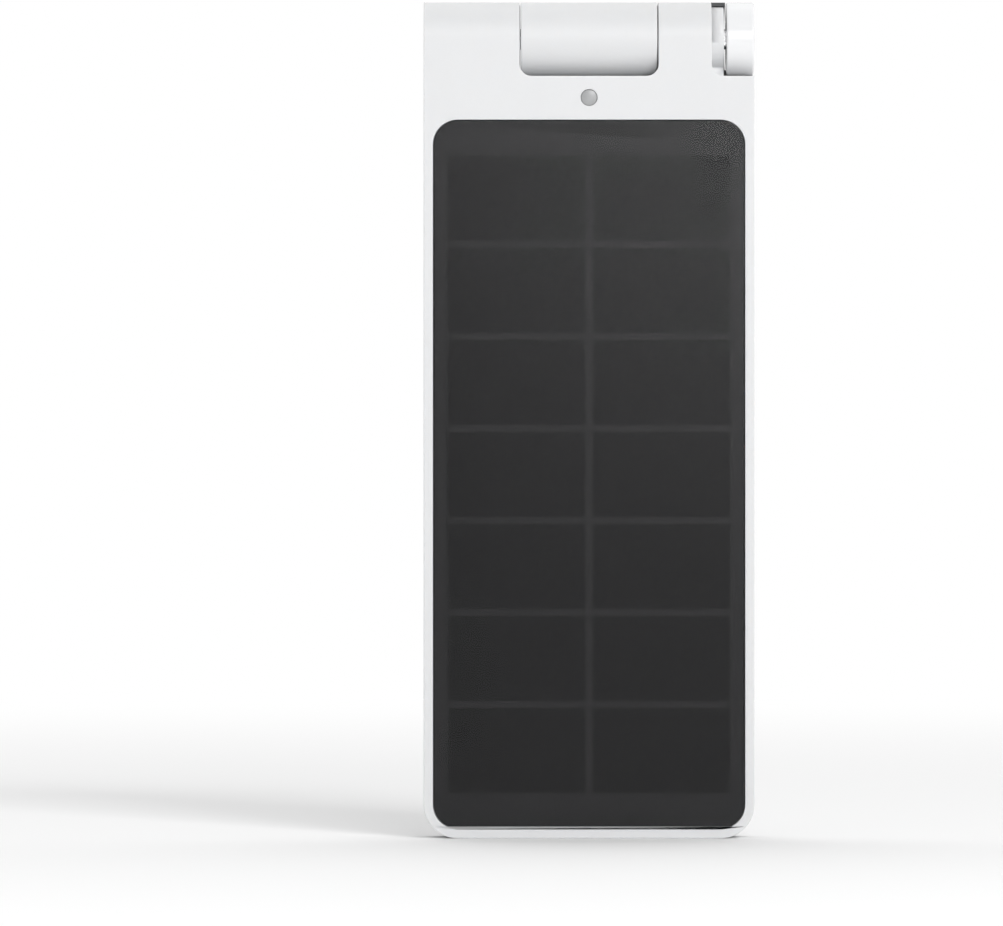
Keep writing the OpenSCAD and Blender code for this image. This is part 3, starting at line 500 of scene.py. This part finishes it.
plug_low, plug_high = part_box("screw_plugs")
plug_radius = 0.0025
plug_edge = 0.0004
plug_side = plug_high.x - 0.0026
plug_rows = (0.011, 0.083, 0.155, 0.213)
plug_profile = [(0, plug_low.y), (plug_radius, plug_low.y)]
plug_profile += arc((plug_radius - plug_edge, plug_high.y - plug_edge - 0.0001),
                    plug_edge, 0, 80, 5)
plug_profile += [(0.0012, plug_high.y - 0.00003), (0, plug_high.y)]
for row, plug_height in enumerate(plug_rows):
    for side, hand in ((-1, "left"), (1, "right")):
        covered = ("screw_plugs",) if (row, side) == (0, -1) else ()
        grid_piece(f"screw_plug_{hand}_{row + 1}",
                   turned(plug_profile, (side * plug_side, plug_height), 40),
                   button_black, "housing", covered)


# ---- Solar panel -------------------------------------------------------------
# Satin cover glass on black cells with a black film between them, bonded to a backing
# board. The gaps are a touch lighter than the cells, which carry hair-fine contact lines.

def satin_glass(name, tint, rough):
    """Clear sheet that lets the cells show through and mirrors softly at its skin."""
    tree = Tree(bpy.data.materials.new(name))
    through = tree.add("ShaderNodeBsdfTransparent", {}, {"Color": rgba(tint)})
    skin = tree.add("ShaderNodeBsdfAnisotropic", {}, {"Color": (1, 1, 1, 1), "Roughness": rough})
    share = tree.add("ShaderNodeFresnel", {}, {"IOR": 1.33})
    return tree.show(tree.add("ShaderNodeMixShader", {}, {0: share, 1: through, 2: skin}))


def cell_silicon(name):
    """Black-coated silicon: faint clouds in the coating, and contact lines 0.08 mm wide
    every 1.4 mm, a shade lighter."""
    tree = Tree(bpy.data.materials.new(name))
    across, _, up = tree.axes()
    line = ((up % 0.0014) < 0.00008) * 0.18
    clouds = tree.noise(0.03, 2.0, (1, 1, 0.6))
    shade = line + clouds * 0.25
    return tree.show(tree.shader(
        Base_Color=tree.mix((0.002, 0.0021, 0.0024, 1), (0.008, 0.008, 0.0086, 1), shade),
        Roughness=clouds * 0.1 + 0.4, Specular_IOR_Level=0.05))


def speckled(name, dark, pale, rough, size):
    """A printed or foamed layer: fine speckle between two close tones."""
    tree = Tree(bpy.data.materials.new(name))
    speck = tree.noise(size, 3.0)
    return tree.show(tree.shader(
        Base_Color=tree.mix(rgba(dark), rgba(pale), speck), Roughness=speck * 0.15 + rough,
        Normal=tree.bump(speck, 0.00001), Specular_IOR_Level=0.15))


def glass_edges(x, y, z):
    """All of the radius on the front rim of the glass."""
    return np.where(near(y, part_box("solar_glass")[0].y), 1.0, 0.0)


cover_glass = softened("solar_glass", "solar_cover_glass", 0.0002, glass_edges)
cover_glass.data.materials.append(satin_glass("cover_glass", (0.97, 0.97, 0.98), 0.2))
dress(cell_silicon("cell_silicon"), "solar_cells")
dress(speckled("black_film", (0.004, 0.004, 0.0044), (0.007, 0.007, 0.0077), 0.4, 0.0006),
      "cell_film")
dress(speckled("backing_board", (0.015, 0.015, 0.015), (0.03, 0.03, 0.03), 0.5, 0.001),
      "panel_backing", "battery_board")
dress(speckled("foam_tape", (0.04, 0.04, 0.04), (0.09, 0.09, 0.09), 0.7, 0.0005),
      "panel_tape", "battery_foam")


# ---- Status window -----------------------------------------------------------
# A grey diffusing plug of milky plastic, slightly domed, with a light pipe behind it that
# carries the light of a small lamp on the board.

window_low, window_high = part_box("status_window")
window_radius = window_high.x
window_edge = 0.0003
window_middle = ((window_low.x + window_high.x) / 2, (window_low.z + window_high.z) / 2)
window_profile = [(0, window_low.y), (0.001, window_low.y + 0.00002)]
window_profile += arc((window_radius - window_edge, window_low.y + window_edge + 0.0001),
                      window_edge, -80, 0, 5)
window_profile += [(window_radius, front_y + 0.0024), (0.0015, front_y + 0.0024),
                   (0.0015, window_high.y), (0, window_high.y)]
milky = Tree(bpy.data.materials.new("milky_grey"))
haze = milky.noise(0.0012, 2.0)
milky_grey = milky.show(milky.shader(
    Base_Color=milky.mix((0.31, 0.315, 0.32, 1), (0.36, 0.365, 0.37, 1), haze),
    Roughness=haze * 0.1 + 0.3, Coat_Weight=0.2, Coat_Roughness=0.1,
    Normal=milky.bump(haze, 0.00001)))
grid_piece("status_window_lens", turned(window_profile, window_middle), milky_grey,
           "housing", ("status_window",))
clear = Tree(bpy.data.materials.new("clear_epoxy"))
swirl = clear.noise(0.001, 2.0)
clear_epoxy = clear.show(clear.shader(
    Base_Color=clear.mix((0.55, 0.53, 0.6, 1), (0.78, 0.76, 0.8, 1), swirl),
    Roughness=swirl * 0.1 + 0.08, Coat_Weight=0.6, Coat_Roughness=0.03))
dress(clear_epoxy, "status_led", "infrared_leds")


# ---- Main board --------------------------------------------------------------
# Green board with the processor and the radio under tinned shields, the charging parts,
# the ports at its right edge, and the two small switches behind the buttons.

def solder_mask(name, colour):
    """Printed board: copper tracks and pours show through the mask as paler shapes, with
    square-cornered cells in two sizes."""
    tree = Tree(bpy.data.materials.new(name))
    sockets = {"Vector": tree.place(), "Scale": 260.0}
    tracks = tree.add("ShaderNodeTexVoronoi", {"distance": "CHEBYCHEV", "feature": "F1"}, sockets)
    pours = tree.noise(0.006, 0.0)
    copper = (tracks > 0.42) * 0.5 + (pours > 0.52) * 0.4
    return tree.show(tree.shader(
        Base_Color=tree.mix(rgba(colour), rgba(colour, 1.9), copper),
        Roughness=copper * 0.1 + 0.28, Normal=tree.bump(copper, 0.00002)))


tin = plated("tin", (0.68, 0.68, 0.67), 0.3, (1, 1, 12))
gold = plated("gold", (0.83, 0.66, 0.3), 0.22)
chip = moulded("chip_resin", (0.028, 0.028, 0.029), 0.5, 0.00012, 0.000006)
dress(solder_mask("green_mask", (0.016, 0.11, 0.06)), "main_board", "sensor_board")
dress(solder_mask("black_mask", (0.016, 0.016, 0.018)), "infrared_board")
dress(tin, "processor_shield", "wireless_module", "usb_socket", "card_socket",
      "motion_sensor")
dress(gold, "microphone", "antenna")
dress(chip, "power_parts", "push_switches", "speaker")
dress(moulded("card_black", (0.03, 0.03, 0.034), 0.4, 0.0002, 0.000004), "memory_card")
dress(moulded("connector_cream", (0.75, 0.71, 0.6), 0.45, 0.0003, 0.000004),
      "board_connectors")
dress(moulded("plunger_red", (0.5, 0.07, 0.045), 0.3, 0.0003, 0.000003, 0.2),
      "power_plunger", "reset_plunger")


# ---- Batteries and leads -----------------------------------------------------
# Two pouch cells in laminated foil, and the insulated leads between the boards.

foil = Tree(bpy.data.materials.new("pouch_foil"))
crinkle = foil.noise(0.004, 4.0, (1, 1, 0.5))
dress(foil.show(foil.shader(
    Base_Color=foil.mix((0.55, 0.56, 0.58, 1), (0.7, 0.71, 0.73, 1), crinkle),
    Metallic=1.0, Roughness=crinkle * 0.2 + 0.25, Normal=foil.bump(crinkle, 0.00012))),
    "battery_1", "battery_2")
dress(rubber("red_insulation", (0.5, 0.03, 0.03), 0.5), "panel_lead", "battery_leads")
dress(rubber("black_insulation", (0.03, 0.03, 0.031), 0.5), "speaker_lead", "antenna_lead",
      "camera_lead", "head_lead")


# ---- Bracket thread ----------------------------------------------------------
# A turned brass insert, pressed into the mounting pad, with a chamfered mouth and a
# 1/4 inch camera thread of 1.27 mm pitch inside.

insert_low, insert_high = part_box("mount_insert")
insert_radius = insert_high.x
bore_radius = 0.0026
thread_depth = 0.00055
thread_pitch = 0.00127
thread_chamfer = 0.0006
insert_middle = (0, (insert_low.z + insert_high.z) / 2)
outside = [(insert_radius, insert_low.y), (insert_radius, insert_high.y - 0.0002),
           (insert_radius - 0.0002, insert_high.y),
           (bore_radius + thread_depth + 0.0002, insert_high.y)]
# The thread winds in by one pitch a turn. Its height is a triangle wave of that pitch, and its
# crests fade out over the last 0.3 mm at both ends.
depth = np.linspace(insert_high.y - thread_chamfer, insert_low.y, 90)
bore = [(bore_radius + thread_depth * 0.5, y) for y in depth]
insert_points = turned(outside + bore + outside[:1], insert_middle, 72)
turn = np.linspace(0, 1, 72, endpoint=False)
wave = np.abs(((depth[:, None] / thread_pitch + turn[None, :]) % 1.0) - 0.5) * 2
ends = np.clip((insert_high.y - thread_chamfer - depth) / 0.0003, 0, 1)
ends = ends * np.clip((depth - insert_low.y) / 0.0003, 0, 1)
cut = bore_radius + thread_depth * (1 - (1 - wave) * ends[:, None])
rows = slice(len(outside), len(outside) + len(depth))
insert_points[rows, :, 0] = cut * np.cos(turn * 2 * math.pi)
insert_points[rows, :, 2] = insert_middle[1] + cut * np.sin(turn * 2 * math.pi)
brass = plated("turned_brass", (0.76, 0.58, 0.27), 0.26, (1, 14, 1), 0.002)
grid_piece("threaded_insert", insert_points, brass, "housing", ("mount_insert",), 35)


# ---- Bearings and tilt shaft -------------------------------------------------
# Acetal bushes and rubber rings carry the ground steel shaft and the left trunnion. A
# wave washer behind a clip gives the tilt its friction.

dress(moulded("acetal", (0.78, 0.76, 0.69), 0.32, 0.0004, 0.000003), "shaft_bushes")
dress(plated("ground_steel", (0.62, 0.62, 0.63), 0.2, (0.1, 1, 1), 0.0006),
      "tilt_shaft", "left_trunnion")
dress(zinc, "wave_washer", "retaining_clip")


# ---- Camera drum -------------------------------------------------------------
# Two white half-shells, clipped and glued on a hairline joint, with a small radius on
# their end rims. The front half holds the dark window and the motion lens.

drum_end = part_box("drum_front")[1].x


def drum_edges(x, y, z):
    """All of the radius on the end rims."""
    skin = near(np.hypot(y, z - axis_height), roll_radius, 0.00006) & (np.abs(y) > 0.0002)
    rims = skin & (np.abs(x) > drum_end - 0.0001)
    return np.where(rims, 1.0, 0.0)


for half in ("drum_rear", "drum_front"):
    piece = softened(half, half + "_moulding", 0.00025, drum_edges)
    true_round(piece, whole=True)
    piece.data.materials.append(white_satin)


# ---- Camera ------------------------------------------------------------------
# Black lens barrel with a stepped, ridged mouth and a coated front element, four infrared
# lamps round it, all behind a dark window that is clear to infrared.

window_smoke = Tree(bpy.data.materials.new("window_smoke"))
smear = window_smoke.noise(0.004, 2.0)
smoke_skin = window_smoke.add("ShaderNodeBsdfAnisotropic", {},
                              {"Color": (1, 1, 1, 1), "Roughness": smear * 0.06 + 0.08})
smoke_through = window_smoke.add("ShaderNodeBsdfTransparent", {}, {"Color": (0.62, 0.58, 0.6, 1)})
smoke_share = window_smoke.add("ShaderNodeFresnel", {}, {"IOR": 1.5})
smoke = window_smoke.show(window_smoke.add(
    "ShaderNodeMixShader", {}, {0: smoke_share, 1: smoke_through, 2: smoke_skin}))


def no_edges(x, y, z):
    """None of the radius anywhere."""
    return x * 0


window = softened("camera_window", "camera_window_lens", 0.0002, no_edges)
true_round(window, True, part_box("camera_window")[1].y)
window.data.materials.append(smoke)

barrel_low, barrel_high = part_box("lens_barrel")
barrel_middle = ((barrel_low.x + barrel_high.x) / 2, (barrel_low.z + barrel_high.z) / 2)
barrel_radius = 0.006
collar_radius = barrel_high.x - barrel_middle[0]
ridge = 0.00018
baffles = []
for step in range(5):
    # Each baffle lies deeper than the last, and its mouth is narrower.
    level = barrel_high.y - 0.0002 - step * 0.00032
    inside = collar_radius - 0.0004 - step * 0.0002
    baffles += [(inside, level), (inside - 0.00014, level - 0.00004),
                (inside - 0.0002, level - ridge)]
barrel_profile = [(0.003, barrel_low.y), (barrel_radius, barrel_low.y),
                  (barrel_radius, 0.005), (collar_radius, 0.005),
                  (collar_radius, barrel_high.y - 0.0003),
                  (collar_radius - 0.0002, barrel_high.y - 0.00004)]
barrel_profile += baffles + [(0.0048, 0.0048), (0.003, 0.0048), (0.003, barrel_low.y)]
matt_black = moulded("lens_black", (0.03, 0.03, 0.032), 0.35, 0.0003, 0.000008)
grid_piece("lens_barrel_turned", turned(barrel_profile, barrel_middle, 72), matt_black,
           "camera_drum", ("lens_barrel",), 30)
dress(matt_black, "lens_holder")

coating = Tree(bpy.data.materials.new("lens_coating_painted_sheen"))
# The base colour goes from deep violet head-on to a paler blue-green where the glass is seen edge-on.
# This is a painted sheen in place of the coating's reflection.
facing = coating.add("ShaderNodeLayerWeight", {}, {"Blend": 0.4}, 1)
film = coating.noise(0.003, 1.0)
dress(coating.show(coating.shader(
    Base_Color=coating.mix((0.02, 0.015, 0.05, 1), (0.05, 0.09, 0.12, 1), facing),
    Roughness=film * 0.03 + 0.02, Coat_Weight=1.0, Coat_Roughness=0.02, IOR=1.7,
    Coat_Tint=(0.75, 0.6, 1.0, 1))), "lens_glass")
sensor = Tree(bpy.data.materials.new("sensor_glass"))
site = sensor.noise(0.0008, 2.0)
dress(sensor.show(sensor.shader(
    Base_Color=sensor.mix((0.05, 0.03, 0.1, 1), (0.08, 0.09, 0.13, 1), site),
    Roughness=site * 0.05 + 0.05, Coat_Weight=0.5)), "image_sensor")


# ---- Motion lens -------------------------------------------------------------
# A milky polyethylene dome, moulded with rings of small lens facets that gather warmth
# onto the sensor behind it.

dome_low, dome_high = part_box("motion_lens")
dome_middle = ((dome_low.x + dome_high.x) / 2, (dome_low.z + dome_high.z) / 2)
dome_ball = 0.006
dome_centre = roll_radius - dome_ball
dome_radius = 0.0045
dome_flange = dome_high.x - dome_middle[0]
dome_wall = 0.0007
facet_depth = 0.00012
rim_angle = math.degrees(math.acos(dome_radius / dome_ball))
dome_profile = [(dome_flange, dome_low.y), (dome_flange, dome_low.y + dome_wall),
                (dome_radius, dome_low.y + dome_wall)]
sky = arc((0, dome_centre), dome_ball, rim_angle, 90, 44)
inner_rim = math.degrees(math.acos((dome_radius - dome_wall) / (dome_ball - dome_wall)))
under = arc((0, dome_centre), dome_ball - dome_wall, 90, inner_rim, 20)
dome_profile += sky + under + [(dome_radius - dome_wall, dome_low.y), (dome_flange, dome_low.y)]
dome_points = turned(dome_profile, dome_middle, 144)
# Four rings of lens facets, with 24, 18, 12 and 6 in them from the rim to the top. Each is the
# product of two half sine waves, and the joins between them sink in. The top is one round lens.
sweep = np.linspace(0, 1, 144, endpoint=False)
tilt = np.linspace(0, 1, len(sky))
ring = np.floor(tilt * 3.999)
lobes = 6 + 6 * (3 - ring)
around = np.abs(np.sin(math.pi * lobes[:, None] * sweep))
facet = around * np.abs(np.sin(math.pi * 4 * tilt))[:, None]
facet = np.where(tilt[:, None] > 0.93, 0.6, facet) - 1.0
sky_rows = slice(3, 3 + len(sky))
shell_way = dome_points[sky_rows] - np.array([dome_middle[0], dome_centre, dome_middle[1]])
dome_points[sky_rows] += shell_way / dome_ball * (facet * facet_depth)[:, :, None]
milk = Tree(bpy.data.materials.new("milky_dome"))
cloud = milk.noise(0.002, 2.0)
milky_dome = milk.show(milk.shader(
    Base_Color=milk.mix((0.8, 0.8, 0.77, 1), (0.87, 0.87, 0.85, 1), cloud),
    Roughness=cloud * 0.1 + 0.3, Normal=milk.bump(cloud, 0.00001)))
grid_piece("motion_lens_dome", dome_points, milky_dome, "camera_drum",
           ("motion_lens",), 30)


# ---- Tilt knob ---------------------------------------------------------------
# A glossy white moulding on the end of the shaft, which the fingers turn. A narrow gap
# parts it from the fixed neck of the front shell.

knob_gloss = moulded("knob_gloss", (0.77, 0.775, 0.785), 0.16, 0.004, 0.000003, 0.5)
knob_inner = 0.0405
knob_groove = 0.0069


def knob_edges(x, y, z):
    """Half of the radius on the inner rim."""
    far = np.hypot(y, z - axis_height)
    return np.where((x < knob_inner) & (far > knob_groove), 0.5, 0.0)


knob = softened("tilt_knob", "tilt_knob_moulding", 0.0003, knob_edges)
knob.data.materials.append(knob_gloss)


# ---- Power button ------------------------------------------------------------
# A rubber key with a rounded rim and a shallow dish for the fingertip.

key_low, key_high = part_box("power_button")
key_middle = ((key_low.x + key_high.x) / 2, (key_low.z + key_high.z) / 2)
key_flange = key_high.x - key_middle[0]
key_radius = key_flange - 0.001
key_rim = 0.0004
inner_back = 0.0045
key_foot = key_low.y + 0.00003
key_profile = [(0, key_foot), (0.0015, key_foot), (0.0015, inner_back - 0.0012),
               (key_flange, inner_back - 0.0012), (key_flange, inner_back - 0.0003),
               (key_radius, inner_back - 0.0003)]
key_profile += arc((key_radius - key_rim, key_high.y - key_rim), key_rim, 0, 90, 6)
dish = np.linspace(key_radius - key_rim - 0.0003, 0, 12)
key_profile += [(r, key_high.y - 0.00025 * (1 - (r / dish[0]) ** 2)) for r in dish]
grid_piece("power_key", turned(key_profile, key_middle), button_black, "power_button",
           ("power_button",))


# ---- Port cover --------------------------------------------------------------
# A pale grey rubber flap with rounded edges, hinged at its upper end; its plug closes the
# charging socket and the card slot.

cover_low, cover_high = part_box("port_cover")


def cover_edges(x, y, z):
    """All of the radius on the outer face's edges, half on the lip at the lower end."""
    outer = near(x, cover_high.x)
    lip = near(z, cover_low.z)
    return np.where(outer, 1.0, np.where(lip, 0.5, 0.0))


cover = softened("port_cover", "port_cover_flap", 0.0003, cover_edges)
cover.data.materials.append(rubber("port_rubber", (0.72, 0.73, 0.74), 0.6))
